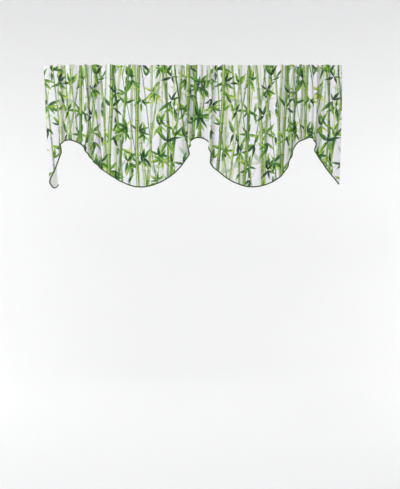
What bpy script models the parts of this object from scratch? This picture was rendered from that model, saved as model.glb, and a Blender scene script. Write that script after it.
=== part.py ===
"""Window valance: a lined, gathered cloth panel with a corded, scalloped hem.

The cloth is worked out from its flat cut. A point of the cut has a place s along the width
and a depth t below the top edge. Folds turn the cloth by an angle, and adding up the cosine
and the sine of that angle along s gives where the point hangs.
Metres, +X right, the front faces -Y, +Z up. The origin is the centre of the top edge.
"""

import math

import bpy
import numpy as np

# Flat cut
FLAT_WIDTH = 1.27
FLAT_LENGTH = 0.432
POCKET_DEPTH = 0.076
ANCHOR_S = 0.678
ANCHOR_X = 0.0215

# Left end, which turns back towards the wall and a little inwards
RETURN_LENGTH = 0.034
RETURN_BEND = 0.020
RETURN_TURN = math.radians(116)
RETURN_DRIFT = 0.006

# Layers
FACE_THICKNESS = 0.0012
LINING_THICKNESS = 0.001
GAP = 0.0003
CORD_RADIUS = 0.002
CORD_SIDES = 6

# Mesh steps
FOLD_STEPS = 5
MORE_STEPS_PER_RADIAN = 2
CLOSEST_COLUMNS = 0.003
LOOSE_STEP = 0.018
ADD_UP_STEP = 0.001
LEVELS = 37
ROWS_BELOW_POCKET = 4
TURN_STEPS = 3

# Hem: place along the width, depth below the top edge
HEM = (
    {"s": 0.000, "depth": 0.4195},
    {"s": 0.014, "depth": 0.4295},
    {"s": 0.028, "depth": 0.4305},
    {"s": 0.042, "depth": 0.4190},
    {"s": 0.056, "depth": 0.3950},
    {"s": 0.072, "depth": 0.3640},
    {"s": 0.090, "depth": 0.3200},
    {"s": 0.106, "depth": 0.2850},
    {"s": 0.124, "depth": 0.2695},
    {"s": 0.146, "depth": 0.2655},
    {"s": 0.172, "depth": 0.2695},
    {"s": 0.200, "depth": 0.2820},
    {"s": 0.225, "depth": 0.3110},
    {"s": 0.253, "depth": 0.3370},
    {"s": 0.311, "depth": 0.3790},
    {"s": 0.360, "depth": 0.4090},
    {"s": 0.418, "depth": 0.4300},
    {"s": 0.474, "depth": 0.4246},
    {"s": 0.525, "depth": 0.4020},
    {"s": 0.575, "depth": 0.3610},
    {"s": 0.598, "depth": 0.3310},
    {"s": 0.614, "depth": 0.3090},
    {"s": 0.636, "depth": 0.2780},
    {"s": 0.649, "depth": 0.2645},
    {"s": 0.678, "depth": 0.2565},
    {"s": 0.704, "depth": 0.2625},
    {"s": 0.716, "depth": 0.2720},
    {"s": 0.733, "depth": 0.3050},
    {"s": 0.750, "depth": 0.3460},
    {"s": 0.780, "depth": 0.3765},
    {"s": 0.830, "depth": 0.4110},
    {"s": 0.905, "depth": 0.4305},
    {"s": 0.960, "depth": 0.4180},
    {"s": 1.002, "depth": 0.3940},
    {"s": 1.030, "depth": 0.3610},
    {"s": 1.052, "depth": 0.3200},
    {"s": 1.074, "depth": 0.2820},
    {"s": 1.104, "depth": 0.2635},
    {"s": 1.140, "depth": 0.2575},
    {"s": 1.156, "depth": 0.2670},
    {"s": 1.176, "depth": 0.3000},
    {"s": 1.204, "depth": 0.3420},
    {"s": 1.270, "depth": 0.4210},
)

# Folds: place, flat width, turn at the top edge and at full length in radians, drift over that length
FOLDS = (
    {"s": 0.109, "width": 0.036, "top": 1.35, "low": 1.90, "drift": 0.004},
    {"s": 0.160, "width": 0.066, "top": 0.55, "low": 0.65, "drift": 0.000},
    {"s": 0.222, "width": 0.036, "top": 1.35, "low": 1.15, "drift": 0.000},
    {"s": 0.268, "width": 0.050, "top": 0.95, "low": 1.15, "drift": 0.000},
    {"s": 0.328, "width": 0.060, "top": 0.75, "low": 0.38, "drift": 0.004},
    {"s": 0.410, "width": 0.090, "top": 0.34, "low": 0.14, "drift": 0.000},
    {"s": 0.508, "width": 0.080, "top": 0.28, "low": 0.10, "drift": 0.000},
    {"s": 0.578, "width": 0.054, "top": 0.60, "low": 0.10, "drift": -0.004},
    {"s": 0.627, "width": 0.038, "top": 1.50, "low": 2.34, "drift": 0.000},
    {"s": 0.677, "width": 0.052, "top": 0.60, "low": 0.40, "drift": 0.000},
    {"s": 0.732, "width": 0.038, "top": 1.40, "low": 2.10, "drift": 0.000},
    {"s": 0.784, "width": 0.060, "top": 0.55, "low": 0.20, "drift": 0.004},
    {"s": 0.846, "width": 0.070, "top": 0.30, "low": 0.20, "drift": 0.000},
    {"s": 0.925, "width": 0.086, "top": 0.18, "low": 0.14, "drift": 0.000},
    {"s": 0.996, "width": 0.054, "top": 0.75, "low": 0.66, "drift": 0.000},
    {"s": 1.048, "width": 0.038, "top": 1.40, "low": 1.40, "drift": 0.000},
    {"s": 1.092, "width": 0.044, "top": 0.90, "low": 0.55, "drift": 0.000},
    {"s": 1.133, "width": 0.038, "top": 0.85, "low": 0.45, "drift": 0.000},
    {"s": 1.160, "width": 0.036, "top": 1.35, "low": 2.40, "drift": 0.000},
    {"s": 1.208, "width": 0.044, "top": 0.85, "low": 0.15, "drift": 0.000},
    {"s": 1.250, "width": 0.030, "top": 0.45, "low": 0.15, "drift": 0.000},
)


def start_empty():
    """Removes whatever objects the scene holds."""
    for item in list(bpy.data.objects):
        bpy.data.objects.remove(item)


def smooth_curve(at, places, values):
    """Cubic curve through the values, with each slope taken from the two neighbours."""
    slopes = np.gradient(values, places)
    k = np.clip(np.searchsorted(places, at) - 1, 0, len(places) - 2)
    span = places[k + 1] - places[k]
    u = (at - places[k]) / span
    start = values[k] * (1 + 2 * u) * (1 - u) ** 2 + slopes[k] * span * u * (1 - u) ** 2
    end = values[k + 1] * u**2 * (3 - 2 * u) + slopes[k + 1] * span * u**2 * (u - 1)
    return start + end


def hem_depth(s):
    """Depth of the hem below the top edge, at each place along the width."""
    places = np.array([row["s"] for row in HEM])
    depths = np.array([row["depth"] for row in HEM])
    return smooth_curve(s, places, depths)


def turn_angle(s, depth):
    """Angle of the cloth in plan: one sine wave for each fold, plus the turned left end."""
    share = depth / FLAT_LENGTH
    angle = np.zeros(np.broadcast(s, depth).shape)
    for fold in FOLDS:
        turn = fold["top"] + (fold["low"] - fold["top"]) * share
        u = (s - fold["s"] - fold["drift"] * share) / fold["width"]
        angle += np.where(np.abs(u) < 0.5, turn * np.sin(2 * np.pi * u), 0.0)
    bend_end = RETURN_LENGTH + RETURN_BEND + RETURN_DRIFT * share
    along_bend = np.clip((bend_end - s) / RETURN_BEND, 0, 1)
    return angle - RETURN_TURN * along_bend**2 * (3 - 2 * along_bend)


def hang():
    """Plan of the hanging cloth on each level, added up along the width from the anchor."""
    s = np.arange(0, FLAT_WIDTH + ADD_UP_STEP / 2, ADD_UP_STEP)
    depth = np.linspace(0, FLAT_LENGTH, LEVELS)
    angle = turn_angle(s[None, :], depth[:, None])
    middle = (angle[:, 1:] + angle[:, :-1]) / 2
    plan = np.zeros((2, LEVELS, len(s)))
    plan[0, :, 1:] = np.cumsum(np.cos(middle), axis=1) * ADD_UP_STEP
    plan[1, :, 1:] = np.cumsum(np.sin(middle), axis=1) * ADD_UP_STEP
    plan -= plan[:, :, round(ANCHOR_S / ADD_UP_STEP)][:, :, None]
    plan[0] += ANCHOR_X
    return plan


PLAN = hang()


def read_plan(s, depth):
    """x and y of the cloth, read between the levels and steps of the plan."""
    across = np.clip(s / ADD_UP_STEP, 0, PLAN.shape[2] - 1.001)
    down = np.clip(depth / FLAT_LENGTH * (LEVELS - 1), 0, LEVELS - 1.001)
    j, i = across.astype(int), down.astype(int)
    u, v = across - j, down - i
    upper = PLAN[:, i, j] * (1 - u) + PLAN[:, i, j + 1] * u
    lower = PLAN[:, i + 1, j] * (1 - u) + PLAN[:, i + 1, j + 1] * u
    return upper * (1 - v) + lower * v


def column_places():
    """Places of the mesh columns: close together on each fold, and wider apart between them."""
    marks = [0.0, RETURN_LENGTH, RETURN_LENGTH + RETURN_BEND, FLAT_WIDTH]
    steps = [(0.0, RETURN_LENGTH, 3), (RETURN_LENGTH, RETURN_LENGTH + RETURN_BEND, 4)]
    for fold in FOLDS:
        low = fold["s"] - fold["width"] / 2
        count = FOLD_STEPS + round(MORE_STEPS_PER_RADIAN * fold["low"])
        steps.append((low, low + fold["width"], count))
        marks += [low, low + fold["width"]]
    places = set()
    for low, high, count in steps:
        places |= {round(v, 5) for v in np.linspace(low, high, count + 1)}
    ordered = sorted(v for v in places | set(marks) if 0 <= v <= FLAT_WIDTH)
    kept = [ordered[0]]
    for place in ordered[1:]:
        if place - kept[-1] > LOOSE_STEP:
            kept.append((place + kept[-1]) / 2)
        if place - kept[-1] > CLOSEST_COLUMNS or place == FLAT_WIDTH:
            kept.append(place)
    return np.array(kept)


def layer_point(s, depth, offset):
    """Points of a layer at places s and depths, offset along the front normal."""
    x, y = read_plan(s, depth)
    angle = turn_angle(s, depth)
    return np.stack([x + offset * np.sin(angle), y - offset * np.cos(angle), -depth], axis=-1)


def grid_solid(front, back, mirrored_rows=0):
    """Closed triangle mesh between two grids of the same size, rows first.

    Each four-sided cell is cut along one diagonal, and along the other one in the first
    mirrored rows, so that layers which run up and down lie against each other cut for cut.
    """
    rows, columns = front.shape[:2]
    vertices = np.concatenate([front.reshape(-1, 3), back.reshape(-1, 3)])
    index = np.arange(rows * columns).reshape(rows, columns)
    a, b = index[:-1, :-1], index[:-1, 1:]
    c, d = index[1:, 1:], index[1:, :-1]
    one = np.stack([a, d, c, a, c, b], -1)
    other = np.stack([a, d, b, b, d, c], -1)
    one[:mirrored_rows] = other[:mirrored_rows]
    sheet = one.reshape(-1, 3)
    rim = np.concatenate([index[0, :], index[1:, -1], index[-1, -2::-1], index[-2:0:-1, 0]])
    following = np.roll(rim, -1)
    behind = rows * columns
    upper = np.stack([rim, following, following + behind], -1)
    lower = np.stack([rim, following + behind, rim + behind], -1)
    return vertices, np.concatenate([sheet, sheet[:, ::-1] + behind, upper, lower])


def tube_solid(centres, across, outward, radius, sides):
    """Closed tube: a ring of points round each centre, and a fan at each end."""
    around = np.arange(sides) * 2 * np.pi / sides
    ring = across[:, None] * np.cos(around)[:, None] + outward[:, None] * np.sin(around)[:, None]
    vertices = (centres[:, None] + radius * ring).reshape(-1, 3)
    index = np.arange(len(vertices)).reshape(-1, sides)
    here, there = index[:-1], index[1:]
    here_next, there_next = np.roll(here, -1, axis=1), np.roll(there, -1, axis=1)
    near = np.stack([here, here_next, there_next], -1).reshape(-1, 3)
    far = np.stack([here, there_next, there], -1).reshape(-1, 3)
    fan = np.array([[0, k + 1, k] for k in range(1, sides - 1)])
    return vertices, np.concatenate([near, far, index[0][fan], index[-1][fan[:, ::-1]]])


def add_piece(name, vertices, triangles, color, roughness):
    """Makes one object with its own material from the points and triangles."""
    mesh = bpy.data.meshes.new(name)
    mesh.from_pydata(vertices.tolist(), [], triangles.tolist())
    mesh.shade_smooth()
    mesh.set_sharp_from_angle(angle=math.radians(40))
    material = bpy.data.materials.new(name)
    material.use_nodes = True
    shader = material.node_tree.nodes["Principled BSDF"]
    shader.inputs["Base Color"].default_value = color
    shader.inputs["Roughness"].default_value = roughness
    shader.inputs["Metallic"].default_value = 0.0
    mesh.materials.append(material)
    piece = bpy.data.objects.new(name, mesh)
    bpy.context.collection.objects.link(piece)
    return piece


def panel_levels(columns, top):
    """Depths of the panel's rows: the top, the pocket's middle and seam, then down to the hem."""
    hem = hem_depth(columns)
    levels = [np.full_like(columns, depth) for depth in (top, POCKET_DEPTH / 2, POCKET_DEPTH)]
    for k in range(1, ROWS_BELOW_POCKET + 1):
        levels.append(POCKET_DEPTH + (hem - POCKET_DEPTH) * k / ROWS_BELOW_POCKET)
    return levels


def face_grids(columns):
    """Front and back grids of the face cloth: up the pocket's flap, over the top, down to the hem."""
    inner = LINING_THICKNESS / 2 + GAP
    outer = inner + FACE_THICKNESS
    panel = panel_levels(columns, outer)
    grids = []
    for offset in (outer, inner):
        rows = [layer_point(columns, level, -offset) for level in panel[2:0:-1]]
        for k in range(TURN_STEPS + 1):
            angle = math.pi * (1 - k / TURN_STEPS)
            level = np.full_like(columns, outer - offset * math.sin(angle))
            rows.append(layer_point(columns, level, offset * math.cos(angle)))
        rows += [layer_point(columns, level, offset) for level in panel[1:]]
        grids.append(np.array(rows))
    return grids


def lining_grids(columns):
    """Front and back grids of the lining, from under the fold of the face cloth to the hem."""
    half = LINING_THICKNESS / 2
    panel = panel_levels(columns, half + GAP + FACE_THICKNESS + half)
    return [np.array([layer_point(columns, level, side) for level in panel]) for side in (half, -half)]


def cord_path(columns):
    """Centres of the cord and its two directions, just past the hem of both cloths."""
    hem = layer_point(columns, hem_depth(columns), 0.0)
    angle = turn_angle(columns, hem_depth(columns))
    across = np.stack([np.sin(angle), -np.cos(angle), np.zeros_like(angle)], axis=-1)
    along = np.gradient(hem, axis=0)
    along /= np.linalg.norm(along, axis=1, keepdims=True)
    outward = np.cross(along, across)
    outward /= np.linalg.norm(outward, axis=1, keepdims=True)
    across = np.cross(outward, along)
    middle = (GAP + FACE_THICKNESS) / 2
    return hem + middle * across + (CORD_RADIUS + GAP) * outward, across, outward


def build():
    """Builds the face cloth, the lining and the hem cord."""
    start_empty()
    columns = column_places()
    face = grid_solid(*face_grids(columns), mirrored_rows=2)
    add_piece("face_cloth", *face, (0.79, 0.83, 0.74, 1.0), 0.85)
    add_piece("lining", *grid_solid(*lining_grids(columns)), (0.74, 0.74, 0.71, 1.0), 0.9)
    centres, across, outward = cord_path(columns)
    tube = tube_solid(centres, across, outward, CORD_RADIUS, CORD_SIDES)
    add_piece("hem_cord", *tube, (0.09, 0.15, 0.06, 1.0), 0.8)


build()
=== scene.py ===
"""Looks of the window valance: printed face cloth, lining, hem cord and the stitching of the pocket."""

import math

import bpy
import numpy as np
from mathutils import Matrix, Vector


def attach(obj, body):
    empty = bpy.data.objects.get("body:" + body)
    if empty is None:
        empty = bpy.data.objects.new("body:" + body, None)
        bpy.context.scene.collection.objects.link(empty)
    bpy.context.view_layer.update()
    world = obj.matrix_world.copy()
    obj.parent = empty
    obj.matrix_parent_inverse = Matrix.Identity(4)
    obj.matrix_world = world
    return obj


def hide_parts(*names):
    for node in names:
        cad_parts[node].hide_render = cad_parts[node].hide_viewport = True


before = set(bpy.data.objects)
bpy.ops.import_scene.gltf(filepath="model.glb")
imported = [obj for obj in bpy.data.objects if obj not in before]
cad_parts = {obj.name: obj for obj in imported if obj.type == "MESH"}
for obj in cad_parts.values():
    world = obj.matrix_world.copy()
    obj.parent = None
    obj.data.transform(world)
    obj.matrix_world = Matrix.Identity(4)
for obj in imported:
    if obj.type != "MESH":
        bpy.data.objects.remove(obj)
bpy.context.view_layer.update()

# Camera and studio
# The camera looks level at the valance from the front, with the valance in the upper part of
# the picture. A pale round sweep, open at the top, stands round it. Soft lamps light the cloth
# and the sweep, and a pale sky fills the shadows.

VIEW_DISTANCE = 2.2
VIEW_HEIGHT = 1.731
VIEW_CENTRE_X = 0.0253
VIEW_CENTRE_Z = -0.637
FILM = 36.0

camera_data = bpy.data.cameras.new("camera")
camera_data.sensor_width = FILM
camera_data.lens = FILM * VIEW_DISTANCE / VIEW_HEIGHT
camera = bpy.data.objects.new("camera", camera_data)
camera.location = (VIEW_CENTRE_X, -VIEW_DISTANCE, VIEW_CENTRE_Z)
camera.rotation_euler = (math.pi / 2, 0, 0)
bpy.context.collection.objects.link(camera)
bpy.context.scene.camera = camera
bpy.context.scene.view_settings.view_transform = "Standard"


def make_mesh(name, points, faces, uv=None):
    """One object from an array of points and an array of four-sided faces.

    uv holds a place on the cut cloth, in metres, for each point.
    """
    mesh = bpy.data.meshes.new(name)
    mesh.vertices.add(len(points))
    mesh.vertices.foreach_set("co", np.asarray(points, np.float32).ravel())
    mesh.loops.add(faces.size)
    mesh.loops.foreach_set("vertex_index", faces.astype(np.int32).ravel())
    mesh.polygons.add(len(faces))
    mesh.polygons.foreach_set("loop_start", np.arange(0, faces.size, faces.shape[1], dtype=np.int32))
    mesh.update(calc_edges=True)
    if uv is not None:
        layer = mesh.uv_layers.new(name="cut")
        layer.data.foreach_set("uv", np.asarray(uv, np.float32)[faces.ravel()].ravel())
    mesh.validate()
    mesh.shade_smooth()
    piece = bpy.data.objects.new(name, mesh)
    bpy.context.collection.objects.link(piece)
    return piece


def grid_faces(rows, columns, closed=False):
    """Four-sided faces of a grid of points, rows first; closed joins the last column to the first."""
    index = np.arange(rows * columns).reshape(rows, columns)
    if closed:
        index = np.concatenate([index, index[:, :1]], axis=1)
    return np.stack([index[:-1, :-1], index[1:, :-1], index[1:, 1:], index[:-1, 1:]], -1).reshape(-1, 4)


def dye(red, green, blue):
    """A colour given as 0 to 255 on screen, as the shader's own red, green, blue and alpha."""
    parts = [part / 255 for part in (red, green, blue)]
    return (*[part / 12.92 if part < 0.04045 else ((part + 0.055) / 1.055) ** 2.4 for part in parts], 1.0)


def new_finish(name, roughness, sheen=0.0):
    """A matt material and its Principled shader."""
    material = bpy.data.materials.new(name)
    material.use_nodes = True
    shader = material.node_tree.nodes["Principled BSDF"]
    shader.inputs["Roughness"].default_value = roughness
    shader.inputs["Sheen Weight"].default_value = sheen
    shader.inputs["Sheen Roughness"].default_value = 0.5
    shader.inputs["Specular IOR Level"].default_value = 0.25
    return material, shader


FLOOR_LEVEL = -1.62
SWEEP_HUB = 0.0005
SWEEP_FLAT = 2.0
SWEEP_RADIUS = 4.2
SWEEP_BEND = 1.6
SWEEP_BEND_STEPS = 17
SWEEP_TOP = 4.6
SWEEP_SIDES = 96

bend = np.linspace(0, math.pi / 2, SWEEP_BEND_STEPS)
bend_out = SWEEP_RADIUS - SWEEP_BEND * (1 - np.sin(bend))
bend_up = SWEEP_BEND * (1 - np.cos(bend))
sweep_out = np.concatenate([[SWEEP_HUB, SWEEP_FLAT], bend_out, [SWEEP_RADIUS]])
sweep_up = np.concatenate([[0, 0], bend_up, [SWEEP_TOP]]) + FLOOR_LEVEL
around = np.arange(SWEEP_SIDES) * 2 * math.pi / SWEEP_SIDES
sweep = np.stack(
    [
        np.outer(sweep_out, np.cos(around)),
        np.outer(sweep_out, np.sin(around)),
        np.repeat(sweep_up[:, None], SWEEP_SIDES, axis=1),
    ],
    axis=-1,
)
sweep_faces = grid_faces(len(sweep_out), SWEEP_SIDES, closed=True)
floor = make_mesh("studio_sweep", sweep.reshape(-1, 3), sweep_faces)
paint, paint_shader = new_finish("studio_paint", 0.9)
paint_shader.inputs["Base Color"].default_value = dye(243, 243, 243)
floor.data.materials.append(paint)

world = bpy.data.worlds.new("studio_light")
world.use_nodes = True
sky = world.node_tree.nodes["Background"]
sky.inputs["Color"].default_value = (0.97, 0.98, 1.0, 1.0)
sky.inputs["Strength"].default_value = 0.47
bpy.context.scene.world = world

SOFT_LIGHTS = (
    {"name": "key", "place": (-1.9, -2.0, 1.3), "aim": (0, 0, 0), "size": 1.1, "power": 50},
    {"name": "fill", "place": (2.2, -2.2, 0.4), "aim": (0, 0, 0), "size": 2.0, "power": 8},
    {"name": "back", "place": (0.4, 2.4, 1.6), "aim": (0, 0, 0), "size": 2.0, "power": 20},
    {"name": "wall left", "place": (-3.0, 1.4, -0.2), "aim": (0.6, 4.2, -0.9), "size": 1.6, "power": 27},
    {"name": "wall right", "place": (3.0, 1.4, -0.2), "aim": (-0.6, 4.2, -0.9), "size": 1.6, "power": 27},
)
for row in SOFT_LIGHTS:
    light_data = bpy.data.lights.new(row["name"], "AREA")
    light_data.size = row["size"]
    light_data.energy = row["power"]
    light = bpy.data.objects.new(row["name"], light_data)
    light.location = row["place"]
    reach = Vector(row["aim"]) - light.location
    light.rotation_euler = reach.to_track_quat("-Z", "Y").to_euler()
    bpy.context.collection.objects.link(light)


# Face cloth
# The printed cotton panel, cut 1.27 m wide with a scalloped lower edge. It hangs in soft upright
# folds, turns back at its left end, and is folded over at the top and stitched into a rod pocket.

FLAT_WIDTH = 1.27
FLAT_LENGTH = 0.432
POCKET_DEPTH = 0.076
FACE_THICKNESS = 0.0012
LINING_THICKNESS = 0.001
GAP = 0.0003

# Place ANCHOR_S of the cut hangs at ANCHOR_X. The left end turns back by RETURN_TURN over a bend,
# which moves along the cut by RETURN_DRIFT on the way down.
ANCHOR_S = 0.678
ANCHOR_X = 0.0215
RETURN_LENGTH = 0.034
RETURN_BEND = 0.020
RETURN_TURN = math.radians(116)
RETURN_DRIFT = 0.006

# Depth of the hem below the top edge, at places s along the width of the cut.
HEM = (
    {"s": 0.000, "depth": 0.4195},
    {"s": 0.014, "depth": 0.4295},
    {"s": 0.028, "depth": 0.4305},
    {"s": 0.042, "depth": 0.4190},
    {"s": 0.056, "depth": 0.3950},
    {"s": 0.072, "depth": 0.3640},
    {"s": 0.090, "depth": 0.3200},
    {"s": 0.106, "depth": 0.2850},
    {"s": 0.124, "depth": 0.2695},
    {"s": 0.146, "depth": 0.2655},
    {"s": 0.172, "depth": 0.2695},
    {"s": 0.200, "depth": 0.2820},
    {"s": 0.225, "depth": 0.3110},
    {"s": 0.253, "depth": 0.3370},
    {"s": 0.311, "depth": 0.3790},
    {"s": 0.360, "depth": 0.4090},
    {"s": 0.418, "depth": 0.4300},
    {"s": 0.474, "depth": 0.4246},
    {"s": 0.525, "depth": 0.4020},
    {"s": 0.575, "depth": 0.3610},
    {"s": 0.598, "depth": 0.3310},
    {"s": 0.614, "depth": 0.3090},
    {"s": 0.636, "depth": 0.2780},
    {"s": 0.649, "depth": 0.2645},
    {"s": 0.678, "depth": 0.2565},
    {"s": 0.704, "depth": 0.2625},
    {"s": 0.716, "depth": 0.2720},
    {"s": 0.733, "depth": 0.3050},
    {"s": 0.750, "depth": 0.3460},
    {"s": 0.780, "depth": 0.3765},
    {"s": 0.830, "depth": 0.4110},
    {"s": 0.905, "depth": 0.4305},
    {"s": 0.960, "depth": 0.4180},
    {"s": 1.002, "depth": 0.3940},
    {"s": 1.030, "depth": 0.3610},
    {"s": 1.052, "depth": 0.3200},
    {"s": 1.074, "depth": 0.2820},
    {"s": 1.104, "depth": 0.2635},
    {"s": 1.140, "depth": 0.2575},
    {"s": 1.156, "depth": 0.2670},
    {"s": 1.176, "depth": 0.3000},
    {"s": 1.204, "depth": 0.3420},
    {"s": 1.270, "depth": 0.4210},
)

# Folds from left to right: place and width on the cut, steepest angle at the top and at the
# level of the lowest hem, and how far the fold moves along the cut on the way down.
FOLDS = (
    {"s": 0.109, "width": 0.036, "top": 1.35, "low": 1.90, "drift": 0.004},
    {"s": 0.160, "width": 0.066, "top": 0.55, "low": 0.65, "drift": 0.000},
    {"s": 0.222, "width": 0.036, "top": 1.35, "low": 1.15, "drift": 0.000},
    {"s": 0.268, "width": 0.050, "top": 0.95, "low": 1.15, "drift": 0.000},
    {"s": 0.328, "width": 0.060, "top": 0.75, "low": 0.38, "drift": 0.004},
    {"s": 0.410, "width": 0.090, "top": 0.34, "low": 0.14, "drift": 0.000},
    {"s": 0.508, "width": 0.080, "top": 0.28, "low": 0.10, "drift": 0.000},
    {"s": 0.578, "width": 0.054, "top": 0.60, "low": 0.10, "drift": -0.004},
    {"s": 0.627, "width": 0.038, "top": 1.50, "low": 2.34, "drift": 0.000},
    {"s": 0.677, "width": 0.052, "top": 0.60, "low": 0.40, "drift": 0.000},
    {"s": 0.732, "width": 0.038, "top": 1.40, "low": 2.10, "drift": 0.000},
    {"s": 0.784, "width": 0.060, "top": 0.55, "low": 0.20, "drift": 0.004},
    {"s": 0.846, "width": 0.070, "top": 0.30, "low": 0.20, "drift": 0.000},
    {"s": 0.925, "width": 0.086, "top": 0.18, "low": 0.14, "drift": 0.000},
    {"s": 0.996, "width": 0.054, "top": 0.75, "low": 0.66, "drift": 0.000},
    {"s": 1.048, "width": 0.038, "top": 1.40, "low": 1.40, "drift": 0.000},
    {"s": 1.092, "width": 0.044, "top": 0.90, "low": 0.55, "drift": 0.000},
    {"s": 1.133, "width": 0.038, "top": 0.85, "low": 0.45, "drift": 0.000},
    {"s": 1.160, "width": 0.036, "top": 1.35, "low": 2.40, "drift": 0.000},
    {"s": 1.208, "width": 0.044, "top": 0.85, "low": 0.15, "drift": 0.000},
    {"s": 1.250, "width": 0.030, "top": 0.45, "low": 0.15, "drift": 0.000},
)

ADD_UP_STEP = 0.001
LEVELS = 37


def smooth_curve(at, places, values):
    """Cubic curve through the values, with each slope taken from the two neighbours."""
    slopes = np.gradient(values, places)
    k = np.clip(np.searchsorted(places, at) - 1, 0, len(places) - 2)
    span = places[k + 1] - places[k]
    u = (at - places[k]) / span
    start = values[k] * (1 + 2 * u) * (1 - u) ** 2 + slopes[k] * span * u * (1 - u) ** 2
    end = values[k + 1] * u**2 * (3 - 2 * u) + slopes[k + 1] * span * u**2 * (u - 1)
    return start + end


def hem_depth(s):
    """Depth of the lower edge below the top edge, at each place along the width."""
    return smooth_curve(s, np.array([row["s"] for row in HEM]), np.array([row["depth"] for row in HEM]))


def turn_angle(s, depth):
    """Angle of the cloth in plan: one sine wave for each fold, plus the turned left end."""
    share = depth / FLAT_LENGTH
    angle = np.zeros(np.broadcast(s, depth).shape)
    for fold in FOLDS:
        turn = fold["top"] + (fold["low"] - fold["top"]) * share
        u = (s - fold["s"] - fold["drift"] * share) / fold["width"]
        angle += np.where(np.abs(u) < 0.5, turn * np.sin(2 * np.pi * u), 0.0)
    bend_end = RETURN_LENGTH + RETURN_BEND + RETURN_DRIFT * share
    along_bend = np.clip((bend_end - s) / RETURN_BEND, 0, 1)
    return angle - RETURN_TURN * along_bend**2 * (3 - 2 * along_bend)


def hang():
    """Plan of the hanging cloth on each level: cosine and sine of the angle, added up along s."""
    s = np.arange(0, FLAT_WIDTH + ADD_UP_STEP / 2, ADD_UP_STEP)
    depth = np.linspace(0, FLAT_LENGTH, LEVELS)
    angle = turn_angle(s[None, :], depth[:, None])
    middle = (angle[:, 1:] + angle[:, :-1]) / 2
    plan = np.zeros((2, LEVELS, len(s)))
    plan[0, :, 1:] = np.cumsum(np.cos(middle), axis=1) * ADD_UP_STEP
    plan[1, :, 1:] = np.cumsum(np.sin(middle), axis=1) * ADD_UP_STEP
    plan -= plan[:, :, round(ANCHOR_S / ADD_UP_STEP)][:, :, None]
    plan[0] += ANCHOR_X
    return plan


PLAN = hang()


def read_plan(s, depth):
    """x and y of the cloth, read between the levels and steps of the plan."""
    across = np.clip(s / ADD_UP_STEP, 0, PLAN.shape[2] - 1.001)
    down = np.clip(depth / FLAT_LENGTH * (LEVELS - 1), 0, LEVELS - 1.001)
    j, i = across.astype(int), down.astype(int)
    u, v = across - j, down - i
    upper = PLAN[:, i, j] * (1 - u) + PLAN[:, i, j + 1] * u
    lower = PLAN[:, i + 1, j] * (1 - u) + PLAN[:, i + 1, j + 1] * u
    return upper * (1 - v) + lower * v


# Soft ridges and hollows of pulled cloth, each along a line on the cut.
CREASES = (
    {"s": 0.150, "depth": 0.262, "to_s": 0.185, "to_depth": 0.150, "height": 0.0012, "width": 0.007},
    {"s": 0.222, "depth": 0.300, "to_s": 0.300, "to_depth": 0.210, "height": 0.0014, "width": 0.009},
    {"s": 0.240, "depth": 0.318, "to_s": 0.330, "to_depth": 0.290, "height": -0.0010, "width": 0.008},
    {"s": 0.598, "depth": 0.320, "to_s": 0.520, "to_depth": 0.250, "height": 0.0013, "width": 0.009},
    {"s": 0.600, "depth": 0.260, "to_s": 0.545, "to_depth": 0.150, "height": -0.0011, "width": 0.008},
    {"s": 0.760, "depth": 0.330, "to_s": 0.850, "to_depth": 0.270, "height": 0.0013, "width": 0.009},
    {"s": 0.752, "depth": 0.240, "to_s": 0.815, "to_depth": 0.130, "height": -0.0010, "width": 0.008},
    {"s": 1.030, "depth": 0.330, "to_s": 0.950, "to_depth": 0.280, "height": 0.0013, "width": 0.009},
    {"s": 1.026, "depth": 0.230, "to_s": 0.970, "to_depth": 0.120, "height": -0.0010, "width": 0.008},
    {"s": 1.190, "depth": 0.300, "to_s": 1.235, "to_depth": 0.220, "height": 0.0012, "width": 0.007},
    {"s": 0.400, "depth": 0.100, "to_s": 0.430, "to_depth": 0.240, "height": 0.0008, "width": 0.010},
    {"s": 0.880, "depth": 0.095, "to_s": 0.900, "to_depth": 0.230, "height": 0.0008, "width": 0.010},
)

# Waves that make the cloth uneven: radians a metre across and down the cut, and height.
RUMPLES = (
    {"across": 95, "down": 34, "phase": 0.0, "height": 0.00042},
    {"across": -71, "down": 88, "phase": 1.7, "height": 0.00036},
    {"across": 132, "down": -61, "phase": 3.1, "height": 0.00028},
    {"across": 58, "down": 121, "phase": 4.4, "height": 0.00030},
    {"across": -164, "down": -97, "phase": 5.2, "height": 0.00018},
    {"across": 203, "down": 76, "phase": 2.3, "height": 0.00014},
)

PUCKER = 0.0009
PUCKER_PITCH = 0.0115
SEAM_REACH = 0.016
TOP_REACH = 0.010
HEM_REACH = 0.012
GROOVE_DEPTH = 0.0007
GROOVE_HALF = 0.0016


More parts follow.
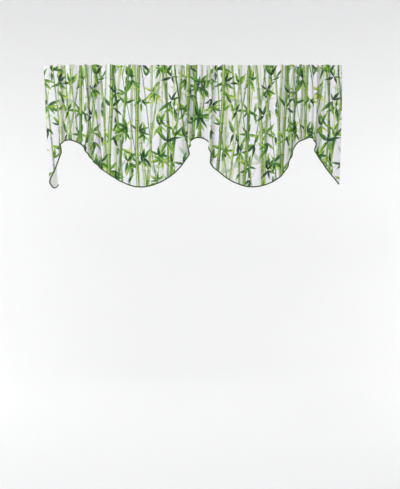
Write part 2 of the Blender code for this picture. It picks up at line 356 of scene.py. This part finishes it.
def relief(s, depth):
    """How far the cloth stands out of its plain folds: rumples, creases, and puckers at the seams.

    The rumples are crossing sine waves that swell and fade. A crease is a soft ridge along a
    line, with a bell-shaped section. A pucker is a sine wave along the width whose pitch
    wanders, and it fades away from the pocket seam, top and hem. A shallow groove runs along
    the lower edge of the pocket.
    """
    out = np.zeros(np.broadcast(s, depth).shape)
    for wave in RUMPLES:
        bent = 2.2 * np.sin(14 * s + 9 * depth + wave["phase"]) + 1.5 * np.sin(19 * depth - 6 * s)
        swell = 0.6 + 0.4 * np.sin(11 * s - 8 * depth + 2 * wave["phase"])
        run = wave["across"] * s + wave["down"] * depth + wave["phase"] + bent
        out += wave["height"] * swell * np.sin(run)
    for crease in CREASES:
        run = np.array([crease["to_s"] - crease["s"], crease["to_depth"] - crease["depth"]])
        length = np.hypot(*run)
        along = ((s - crease["s"]) * run[0] + (depth - crease["depth"]) * run[1]) / length**2
        across = ((s - crease["s"]) * run[1] - (depth - crease["depth"]) * run[0]) / length
        fade = np.sin(np.pi * np.clip(along, 0, 1)) ** 0.8
        out += crease["height"] * fade * np.exp(-((across / crease["width"]) ** 2))
    wander = 1.9 * np.sin(9.1 * s) + 1.3 * np.sin(27.7 * s + 1.1) + 0.8 * np.sin(61 * s)
    wave = np.sin(2 * np.pi * s / PUCKER_PITCH + 3 * wander)
    swell = 0.55 + 0.45 * np.sin(17.3 * s + 0.6) * np.sin(43.1 * s)
    seam = np.exp(-(((depth - POCKET_DEPTH) / SEAM_REACH) ** 2))
    top = np.exp(-((depth / TOP_REACH) ** 2))
    hem = np.exp(-((np.maximum(hem_depth(s) - depth, 0) / HEM_REACH) ** 2))
    groove = GROOVE_DEPTH * np.exp(-(((depth - POCKET_DEPTH) / GROOVE_HALF) ** 2))
    return out + PUCKER * swell * wave * (seam + 0.8 * top - 0.7 * hem) - groove


def front_normal(angle):
    """Level direction out of the printed side of the cloth, from its angle in plan."""
    return np.stack([np.sin(angle), -np.cos(angle), np.zeros_like(angle)], axis=-1)


def layer_point(s, depth, offset):
    """Points of a layer at places s and depths, offset along the front normal."""
    x, y = read_plan(s, depth)
    angle = turn_angle(s, depth)
    out = offset + relief(s, depth)
    return np.stack([x + out * np.sin(angle), y - out * np.cos(angle), -depth], axis=-1)


FINE_COLUMNS = 2541
BEND_LEVEL = 0.3
BEND_WINDOW = 25
SHARP_BEND = 150


def cloth_columns(count):
    """Places along the width, up to three times closer where the cloth turns sharply."""
    fine = np.linspace(0, FLAT_WIDTH, FINE_COLUMNS)
    bend = np.abs(np.gradient(turn_angle(fine, BEND_LEVEL), fine))
    mean_bend = np.convolve(bend, np.ones(BEND_WINDOW) / BEND_WINDOW, "same")
    weight = 1 + 2 * np.clip(mean_bend / SHARP_BEND, 0, 1)
    summed = np.concatenate([[0], np.cumsum((weight[1:] + weight[:-1]) / 2)])
    return np.interp(np.linspace(0, summed[-1], count), summed, fine)


def rounded(distance, radius):
    """Share of the thickness near a cut edge: a quarter circle over the radius, but not under 0.2."""
    share = np.sqrt(1 - (1 - np.clip(distance / radius, 0, 1)) ** 2)
    return np.clip(share, 0.2, 1)


def closed_sheet(name, front, back, uv):
    """Closed mesh of two grids of points, joined by a band of faces round the rim."""
    rows, columns = front.shape[:2]
    index = np.arange(rows * columns).reshape(rows, columns)
    sheet = grid_faces(rows, columns)
    rim = np.concatenate([index[0, :], index[1:, -1], index[-1, -2::-1], index[-2:0:-1, 0]])
    following = np.roll(rim, -1)
    behind = rows * columns
    band = np.stack([rim, following, following + behind, rim + behind], -1)
    faces = np.concatenate([sheet, sheet[:, ::-1] + behind, band])
    points = np.concatenate([front.reshape(-1, 3), back.reshape(-1, 3)])
    return make_mesh(name, points, faces, np.concatenate([uv.reshape(-1, 2)] * 2))


# Rows of the mesh: depths down to just below the pocket, and shares of the way to the hem.
# Both cloths reach into the cord by HEM_TUCK.
CLOTH_COLUMNS = 500
POCKET_ROWS = np.array(
    [0.004, 0.009, 0.016, 0.026, 0.038, 0.05, 0.06, 0.067, 0.0715, 0.0745, POCKET_DEPTH, 0.0775]
)
HEM_SHARES = [0.955, 0.968, 0.978, 0.986, 0.992, 0.9965, 1]
PANEL_SHARES = np.concatenate([np.linspace(0, 0.94, 48), HEM_SHARES])
TURN_STEPS = 8
EDGE_RADIUS = 0.0009
HEM_TUCK = 0.0009

columns = cloth_columns(CLOTH_COLUMNS)
hem = hem_depth(columns) + HEM_TUCK
inner = LINING_THICKNESS / 2 + GAP
outer = inner + FACE_THICKNESS
side_distance = np.minimum(columns, FLAT_WIDTH - columns)
below = POCKET_ROWS[-1] + (hem - POCKET_ROWS[-1]) * PANEL_SHARES[1:, None]
panel = np.concatenate([np.repeat(POCKET_ROWS[:, None], len(columns), axis=1), below])
panel_edge = rounded(np.minimum(side_distance, hem - panel), EDGE_RADIUS)
flap = np.repeat(POCKET_ROWS[-2::-1][:, None], len(columns), axis=1)
flap_edge = rounded(np.minimum(side_distance, POCKET_DEPTH - flap), EDGE_RADIUS)
turn = np.pi * (1 - np.arange(TURN_STEPS + 1) / TURN_STEPS)[:, None]
turn_edge = rounded(side_distance, EDGE_RADIUS) * np.ones_like(turn)

# The outer and the inner side of the cloth: up the flap, over the top in a half circle, and
# down the panel. The print runs on over the top, so the cut's second number is below 0 there.
face_grids = []
for thickness in (FACE_THICKNESS, 0.0):
    turned = inner + thickness * turn_edge
    face_grids.append(
        np.concatenate(
            [
                layer_point(columns[None, :], flap, -(inner + thickness * flap_edge)),
                layer_point(columns[None, :], outer - turned * np.sin(turn), turned * np.cos(turn)),
                layer_point(columns[None, :], panel, inner + thickness * panel_edge),
            ]
        )
    )
over_top = (np.pi / 2 - turn) * inner * np.ones((1, len(columns)))
down_cut = np.concatenate([-flap, over_top, panel])
face_uv = np.stack([np.broadcast_to(columns, down_cut.shape), down_cut], axis=-1)
face_cloth = closed_sheet("face_print_cloth", *face_grids, face_uv)

# The print: dyes from dark to light, and layers from the back of the drawing to its front. A stem
# has a half width, leans by a share of its height, and has a joint after each length of joint. A
# leaf has a half width and a reach, and kept is the share of the leaves that stay. Lengths are in
# metres; light is added to the tone, and ink is how well a layer covers those behind it.
PRINT_REPEAT = 0.686
LEAF_DYES = (
    (0.00, dye(18, 44, 36)),
    (0.18, dye(28, 70, 36)),
    (0.42, dye(62, 120, 36)),
    (0.64, dye(114, 162, 48)),
    (0.84, dye(166, 192, 80)),
    (1.00, dye(208, 214, 130)),
)
STEM_DYES = (
    (0.00, dye(26, 66, 36)),
    (0.25, dye(62, 110, 40)),
    (0.50, dye(106, 148, 58)),
    (0.75, dye(154, 182, 88)),
    (1.00, dye(212, 222, 168)),
)
GROUND = dye(238, 234, 243)
GROUND_SHADE = dye(228, 233, 232)

STEM_LAYERS = (
    {"count": 10, "seed": 6.0, "lean": -0.045, "half": 0.0042, "joint": 0.125, "light": 0.32, "ink": 0.40},
    {"count": 13, "seed": 1.0, "lean": 0.060, "half": 0.0034, "joint": 0.118, "light": 0.24, "ink": 0.76},
    {"count": 9, "seed": 2.0, "lean": -0.075, "half": 0.0041, "joint": 0.096, "light": 0.10, "ink": 0.92},
    {"count": 6, "seed": 3.0, "lean": 0.140, "half": 0.0034, "joint": 0.104, "light": 0.08, "ink": 0.92},
    {"count": 8, "seed": 4.0, "lean": 0.025, "half": 0.0047, "joint": 0.132, "light": 0.04, "ink": 0.96},
    {"count": 7, "seed": 5.0, "lean": -0.125, "half": 0.0019, "joint": 0.084, "light": -0.10, "ink": 0.94},
)
FAN_LAYERS = (
    {
        "columns": 6, "seed": 17.0, "leaves": 8, "reach": 0.058, "half": 0.0080,
        "kept": 0.72, "shift": 0.27, "light": 0.42, "ink": 0.45,
    },
    {
        "columns": 6, "seed": 11.0, "leaves": 9, "reach": 0.054, "half": 0.0070,
        "kept": 0.66, "shift": 0.13, "light": 0.24, "ink": 0.96,
    },
    {
        "columns": 7, "seed": 12.0, "leaves": 7, "reach": 0.045, "half": 0.0066,
        "kept": 0.66, "shift": 0.41, "light": 0.12, "ink": 0.96,
    },
    {
        "columns": 6, "seed": 13.0, "leaves": 9, "reach": 0.054, "half": 0.0070,
        "kept": 0.54, "shift": 0.67, "light": 0.04, "ink": 0.96,
    },
    {
        "columns": 7, "seed": 14.0, "leaves": 8, "reach": 0.045, "half": 0.0062,
        "kept": 0.56, "shift": 0.88, "light": -0.04, "ink": 0.96,
    },
    {
        "columns": 5, "seed": 16.0, "leaves": 7, "reach": 0.062, "half": 0.0076,
        "kept": 0.58, "shift": 0.55, "light": 0.06, "ink": 0.96,
    },
)
FAN_STRETCH = 1.02
TWIG_HALF = 0.0006
HAND_SHIFT = 0.006
STEM_HAND_SHARE = 0.35


class Value:
    """A number, colour or place in a material: sums add Math nodes, make() any other node."""

    def __init__(self, tree, socket=None):
        self.tree = tree
        self.socket = socket

    def make(self, kind, values=(), output=0, stops=None, **settings):
        """Adds a node, sets its settings and ramp stops, and then its values or links."""
        node = self.tree.nodes.new(kind)
        for name, setting in settings.items():
            setattr(node, name, setting)
        if stops:
            while len(node.color_ramp.elements) < len(stops):
                node.color_ramp.elements.new(0.5)
            for element, (position, color) in zip(node.color_ramp.elements, stops):
                element.position = position
                element.color = color
        for key, value in values.items() if isinstance(values, dict) else enumerate(values):
            if isinstance(value, Value):
                self.tree.links.new(value.socket, node.inputs[key])
            else:
                node.inputs[key].default_value = value
        return Value(self.tree, node.outputs[output])

    def math(self, operation, *others):
        """This number put through a Math node, with the other numbers that it takes."""
        return self.make("ShaderNodeMath", (self, *others), operation=operation)

    def __add__(self, other):
        return self.math("ADD", other)

    def __sub__(self, other):
        return self.math("SUBTRACT", other)

    def __rsub__(self, other):
        return self.math("MULTIPLY", -1.0) + other

    def __mul__(self, other):
        return self.math("MULTIPLY", other)

    def __truediv__(self, other):
        return self.math("DIVIDE", other)

    def __abs__(self):
        return self.math("ABSOLUTE")

    def rise(self, low, high):
        """0 below low, 1 above high, and a smooth step between them."""
        values = {0: self, 1: low, 2: high}
        return self.make("ShaderNodeMapRange", values, interpolation_type="SMOOTHSTEP")

    def place(self, other):
        """The place at this number across and the other down."""
        return self.make("ShaderNodeCombineXYZ", (self, other, 0.0))

    def noise(self, scale, detail, output=0):
        """Noise at this place, from 0 to 1; output 1 holds three of them."""
        values = {"Vector": self, "Scale": scale, "Detail": detail}
        return self.make("ShaderNodeTexNoise", values, output=output)

    def parts(self):
        """The three numbers of a vector or a colour."""
        return [self.make("ShaderNodeSeparateXYZ", (self,), output=k) for k in range(3)]

    def chance(self, a, b, seed):
        """Three random numbers from 0 to 1 that depend only on a, b and the seed."""
        place = self.make("ShaderNodeCombineXYZ", (a, b, seed))
        return self.make("ShaderNodeTexWhiteNoise", {"Vector": place}, output=1).parts()

    def blend(self, under, over):
        """The colour under where this number is 0, and the colour over where it is 1."""
        return self.make("ShaderNodeMix", {0: self, 6: under, 7: over}, output=2, data_type="RGBA")


def stems(u, v, row):
    """Mask and tone of upright jointed stems: one in each strip of the repeat.

    A stem is a strip that leans and sways a little. It has a light streak left of its middle
    and dark edges. Each segment has its own tone, lighter towards its foot, and there is a
    thin dark ring at each joint, where the stem swells a little.
    """
    width = PRINT_REPEAT / row["count"]
    strip = u / width + v * (row["lean"] / width) + row["seed"] * 0.37
    number = strip.math("FLOOR")
    wrapped = number.math("FLOORED_MODULO", row["count"])
    place, girth, tone = u.chance(wrapped, row["seed"], 0.0)
    sway = (v * 11.0 + tone * 6.3).math("SINE") * 0.0032
    offset = (strip - number - 0.5 - (place - 0.5) * 0.62) * width + sway
    run = (v + tone * 0.2 + place * 0.3) / row["joint"]
    segment = run.math("FLOOR")
    rest = run - segment
    shade, _, _ = u.chance(wrapped, segment, row["seed"] + 0.5)
    joint = (0.5 - abs(rest - 0.5)) * row["joint"]
    near_joint = 1 - joint.rise(0.0005, 0.0026)
    half = (girth * 0.8 + 0.6) * row["half"] + near_joint * 0.0007
    mask = (half - abs(offset)).rise(-0.0003, 0.0004)
    share = offset / half
    streak = 1 - abs(share + 0.35).rise(0.0, 0.45)
    edge = abs(share).rise(0.50, 1.0)
    tone = tone * 0.40 + shade * 0.26 + streak * 0.34 - edge * 0.36 + rest * 0.12 - near_joint * 0.36
    return mask * row["ink"], tone + (0.08 + row["light"])


def fans(u, v, row):
    """Mask and tone of fans of pointed leaves: one fan in each cell of the repeat.

    The angle round the fan's centre is cut into equal sectors: a leaf in each but the last,
    which holds a thin twig. Some leaves are left out, more of the level ones. A leaf is widest
    at a third of its length and bends a little; one half and the tip are lighter.
    """
    cell = PRINT_REPEAT / row["columns"]
    across = u / cell + row["shift"]
    column = across.math("FLOOR")
    wrapped = column.math("FLOORED_MODULO", row["columns"])
    slide, _, _ = u.chance(wrapped, row["seed"], 5.0)
    down = v / (cell * FAN_STRETCH) + slide + row["shift"]
    line = down.math("FLOOR")
    place, drop, spin = u.chance(wrapped, line, row["seed"])
    x = (across - column - 0.5 - (place - 0.5) * 0.28) * cell
    y = (down - line - 0.5 - (drop - 0.5) * 0.28) * (cell * FAN_STRETCH)
    radius = (x * x + y * y).math("SQRT")
    sector = 2 * math.pi / row["leaves"]
    angle = (y.math("ARCTAN2", x) + spin * (2 * math.pi)) / sector
    leaf = angle.math("FLOOR")
    number = leaf.math("FLOORED_MODULO", row["leaves"])
    skip, size, tone = u.chance(wrapped * 17.0 + line, number, row["seed"] + 0.5)
    twig = number.math("GREATER_THAN", row["leaves"] - 1.5)
    bend = (tone - 0.5) * (radius * (0.5 / row["reach"]))
    local = (angle - leaf - 0.5) * sector + bend
    length = (size * 0.35 + 0.65) * row["reach"]
    along = radius * local.math("COSINE") / length
    side = radius * local.math("SINE")
    shape = along.math("MAXIMUM", 0.0).math("POWER", 0.62) * (1 - along) * 2.45
    half = shape * (size * 0.35 + 0.7) * row["half"] * (1 - twig) + (1 - along) * twig * TWIG_HALF
    level = ((leaf + 0.5) * sector - spin * (2 * math.pi)).math("COSINE")
    chosen = (1.22 - level * level * 0.75) * row["kept"]
    drawn = skip.math("LESS_THAN", chosen).math("MAXIMUM", twig)
    mask = (half - abs(side)).rise(-0.00025, 0.00035) * drawn
    lit = side.rise(-0.0004, 0.0008)
    tone = tone * 0.56 + along * 0.52 + lit * 0.20 - twig * 0.35 + (row["light"] - 0.24)
    return mask * row["ink"], tone


def printed_color(u, v):
    """Colour of the print at u, v metres on the cut: ground, then stems and leaves by turns.

    Noise shifts the drawing by a millimetre or two, as if by hand, the stems less than the
    leaves. It also stains the inks, in blots and for the stems in long upright streaks.
    """
    spot = u.place(v)
    hand = spot.noise(38.0, 3.0, output=1).parts()
    stem_u = u + (hand[0] - 0.5) * (HAND_SHIFT * STEM_HAND_SHARE)
    u, v = u + (hand[0] - 0.5) * HAND_SHIFT, v + (hand[1] - 0.5) * HAND_SHIFT
    blot = spot.noise(110.0, 3.0)
    streak = u.place(v * 0.07).noise(420.0, 2.0)
    color = spot.noise(22.0, 2.0).rise(0.35, 0.7).blend(GROUND, GROUND_SHADE)
    leaf_stain = (blot - 0.5) * 0.9
    stem_stain = (streak - 0.5) * 0.9 + (blot - 0.5) * 0.4
    layers = []
    for stem_row, fan_row in zip(STEM_LAYERS, FAN_LAYERS):
        layers.append((STEM_DYES, stem_stain, *stems(stem_u, v, stem_row)))
        layers.append((LEAF_DYES, leaf_stain, *fans(u, v, fan_row)))
    for dyes, stain, mask, tone in layers:
        ink = tone.make("ShaderNodeValToRGB", (tone + stain,), stops=dyes)
        color = mask.blend(color, ink)
    return color


THREAD_HEIGHT = 0.0002


def weave_normal(u, v, pitch, strength, slant=0.0):
    """Bump of a plain weave: two crossed sine waves of threads, made uneven by fine noise."""
    warp = (u + v * slant) * (2 * math.pi / pitch)
    weft = (v - u * slant) * (2 * math.pi / pitch)
    height = warp.math("SINE") * weft.math("SINE") * 0.5 + u.place(v).noise(420.0, 2.0)
    values = {"Strength": strength, "Distance": THREAD_HEIGHT, "Height": height}
    return u.make("ShaderNodeBump", values)


def cut_place(material):
    """The two numbers of the piece's own map: metres along the width and down the cut."""
    return Value(material.node_tree).make("ShaderNodeUVMap", uv_map="cut").parts()[:2]


def dress(piece, material, shader, color, normal=None):
    """Links a colour and a bump to the shader, and gives the material to the piece."""
    material.node_tree.links.new(color.socket, shader.inputs["Base Color"])
    if normal:
        material.node_tree.links.new(normal.socket, shader.inputs["Normal"])
    piece.data.materials.append(material)


print_cotton, print_shader = new_finish("printed_cotton", 0.86, sheen=0.12)
u, v = cut_place(print_cotton)
dress(face_cloth, print_cotton, print_shader, printed_color(u, v), weave_normal(u, v, 0.0007, 0.6))

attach(face_cloth, "root")
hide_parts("face_cloth")


# Lining
# Plain off-white cloth behind the printed panel, cut to the same scallops and sewn to it along
# the hem and the sides. It starts under the fold of the face cloth, inside the pocket.

lining_rows = np.concatenate([[outer + LINING_THICKNESS], POCKET_ROWS[1:]])
lining_panel = np.concatenate([np.repeat(lining_rows[:, None], len(columns), axis=1), below])
lining_edge = rounded(np.minimum(side_distance, hem - lining_panel), EDGE_RADIUS)
lining_front = LINING_THICKNESS / 2
lining_back = lining_front - LINING_THICKNESS * lining_edge
lining_uv = np.stack([np.broadcast_to(columns, lining_panel.shape), lining_panel], axis=-1)
lining = closed_sheet(
    "plain_lining",
    layer_point(columns[None, :], lining_panel, lining_front),
    layer_point(columns[None, :], lining_panel, lining_back),
    lining_uv,
)

lining_cotton, lining_shader = new_finish("lining_cotton", 0.9, sheen=0.1)
u, v = cut_place(lining_cotton)
lining_color = u.place(v).noise(16.0, 3.0).rise(0.2, 0.85).blend(dye(234, 233, 229), dye(229, 228, 223))
dress(lining, lining_cotton, lining_shader, lining_color, weave_normal(u, v, 0.0006, 0.4))

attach(lining, "root")
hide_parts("lining")


# Hem cord
# A cord about 4 mm thick in a bias-cut dark green cotton cover, sewn into the seam that joins
# the face cloth and the lining along the whole scalloped edge.

CORD_RADIUS = 0.0024
CORD_OUT = 0.0019
CORD_STEPS = 1000
CORD_SIDES = 16

# Rings of the rounded ends, from the tip inwards, in shares of the radius.
END_RINGS = (
    {"girth": 0.15, "past": 1.0},
    {"girth": 0.70, "past": 0.7},
    {"girth": 0.95, "past": 0.3},
)

cord_s = cloth_columns(CORD_STEPS)
cord_hem = hem_depth(cord_s)
cord_line = layer_point(cord_s, cord_hem, 0.0)
across = front_normal(turn_angle(cord_s, cord_hem))
along = np.gradient(cord_line, axis=0)
along /= np.linalg.norm(along, axis=1, keepdims=True)
outward = np.cross(along, across)
outward /= np.linalg.norm(outward, axis=1, keepdims=True)
across = np.cross(outward, along)
centres = cord_line + (GAP + FACE_THICKNESS) / 2 * across + CORD_OUT * outward


def tube(name, centres, across, outward, radius, sides):
    """Closed tube along a line: a ring of points round each centre, and shrunk end rings.

    The map holds the length along the cord and the way round it, both in metres.
    """
    length = np.concatenate([[0], np.cumsum(np.linalg.norm(np.diff(centres, axis=0), axis=1))])
    forward = np.gradient(centres, axis=0)
    forward /= np.linalg.norm(forward, axis=1, keepdims=True)
    girth = [row["girth"] for row in END_RINGS]
    past = [row["past"] for row in END_RINGS]
    scale = np.concatenate([girth, np.ones(len(centres)), girth[::-1]])
    shift = np.concatenate([np.negative(past), np.zeros(len(centres)), past[::-1]]) * radius
    at = np.arange(-len(END_RINGS), len(centres) + len(END_RINGS)).clip(0, len(centres) - 1)
    middle = centres[at] + shift[:, None] * forward[at]
    turn = np.arange(sides) * 2 * np.pi / sides
    ring = across[at][:, None] * np.cos(turn)[:, None] + outward[at][:, None] * np.sin(turn)[:, None]
    points = middle[:, None] + radius * scale[:, None, None] * ring
    uv = np.stack(np.broadcast_arrays((length[at] + shift)[:, None], turn * radius), axis=-1)
    wall = grid_faces(len(at), sides, closed=True)[:, [0, 3, 2, 1]]
    quads = np.arange(0, sides - 2, 2)
    cap = np.stack([np.zeros_like(quads), quads + 3, quads + 2, quads + 1], -1) % sides
    faces = np.concatenate([wall, cap, cap[:, ::-1] + (len(at) - 1) * sides])
    return make_mesh(name, points.reshape(-1, 3), faces, uv.reshape(-1, 2))


hem_cord = tube("covered_hem_cord", centres, across, outward, CORD_RADIUS, CORD_SIDES)
cord_cotton, cord_shader = new_finish("cord_cotton", 0.8, sheen=0.15)
u, v = cut_place(cord_cotton)
cord_color = u.place(v).noise(900.0, 2.0).rise(0.3, 0.7).blend(dye(44, 66, 38), dye(84, 104, 66))
dress(hem_cord, cord_cotton, cord_shader, cord_color, weave_normal(u, v, 0.0009, 0.8, slant=1.0))

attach(hem_cord, "root")
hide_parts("hem_cord")


# Pocket stitching
# One row of lockstitch in white cotton thread across the whole width, 74.5 mm below the top. It
# goes through the face cloth, the lining and the flap, and shows on the front and on the back.

STITCH_LENGTH = 0.0026
STITCH_PITCH = 0.0032
STITCH_RADIUS = 0.00022
STITCH_SIDES = 6
STITCH_INSET = 0.0015
STITCH_MARGIN = 0.004

stitch_s = np.arange(STITCH_MARGIN, FLAT_WIDTH - STITCH_MARGIN, STITCH_PITCH)
share = np.array([0.0, 0.25, 0.5, 0.75, 1.0])
rise = np.array([-0.9, 0.35, 0.7, 0.35, -0.9]) * STITCH_RADIUS
girth = np.array([0.35, 0.9, 1.0, 0.9, 0.35]) * STITCH_RADIUS
stitch_at = stitch_s[:, None] + (share - 0.5) * STITCH_LENGTH
stitch_level = np.full_like(stitch_at, POCKET_DEPTH - STITCH_INSET)
forward = front_normal(turn_angle(stitch_at, stitch_level))
down = np.array([0.0, 0.0, -1.0])
around = (np.arange(STITCH_SIDES) * 2 * np.pi / STITCH_SIDES)[:, None]
stitch_rings = []
for side in (1, -1):
    middle = layer_point(stitch_at, stitch_level, side * (outer + rise))
    ring = side * (forward[:, :, None] * np.sin(around) + down * np.cos(around))
    stitch_rings.append(middle[:, :, None] + girth[:, None, None] * ring)
stitch_points = np.concatenate(stitch_rings)
end_faces = np.array([[0, 1, 2, 3], [0, 3, 4, 5]])
last_ring = (len(share) - 1) * STITCH_SIDES
wall_faces = grid_faces(len(share), STITCH_SIDES, closed=True)
one_stitch = np.concatenate([wall_faces, end_faces, end_faces[:, ::-1] + last_ring])
first_point = np.arange(len(stitch_points)) * len(share) * STITCH_SIDES
stitch_faces = (one_stitch + first_point[:, None, None]).reshape(-1, 4)
stitching = make_mesh("pocket_stitching", stitch_points.reshape(-1, 3), stitch_faces)

sewing_thread, thread_shader = new_finish("sewing_thread", 0.6, sheen=0.1)
place = Value(sewing_thread.node_tree).make("ShaderNodeTexCoord", output=3)
thread_color = place.noise(1500.0, 1.0).rise(0.3, 0.7).blend(dye(238, 238, 232), dye(214, 216, 208))
dress(stitching, sewing_thread, thread_shader, thread_color)
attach(stitching, "root")
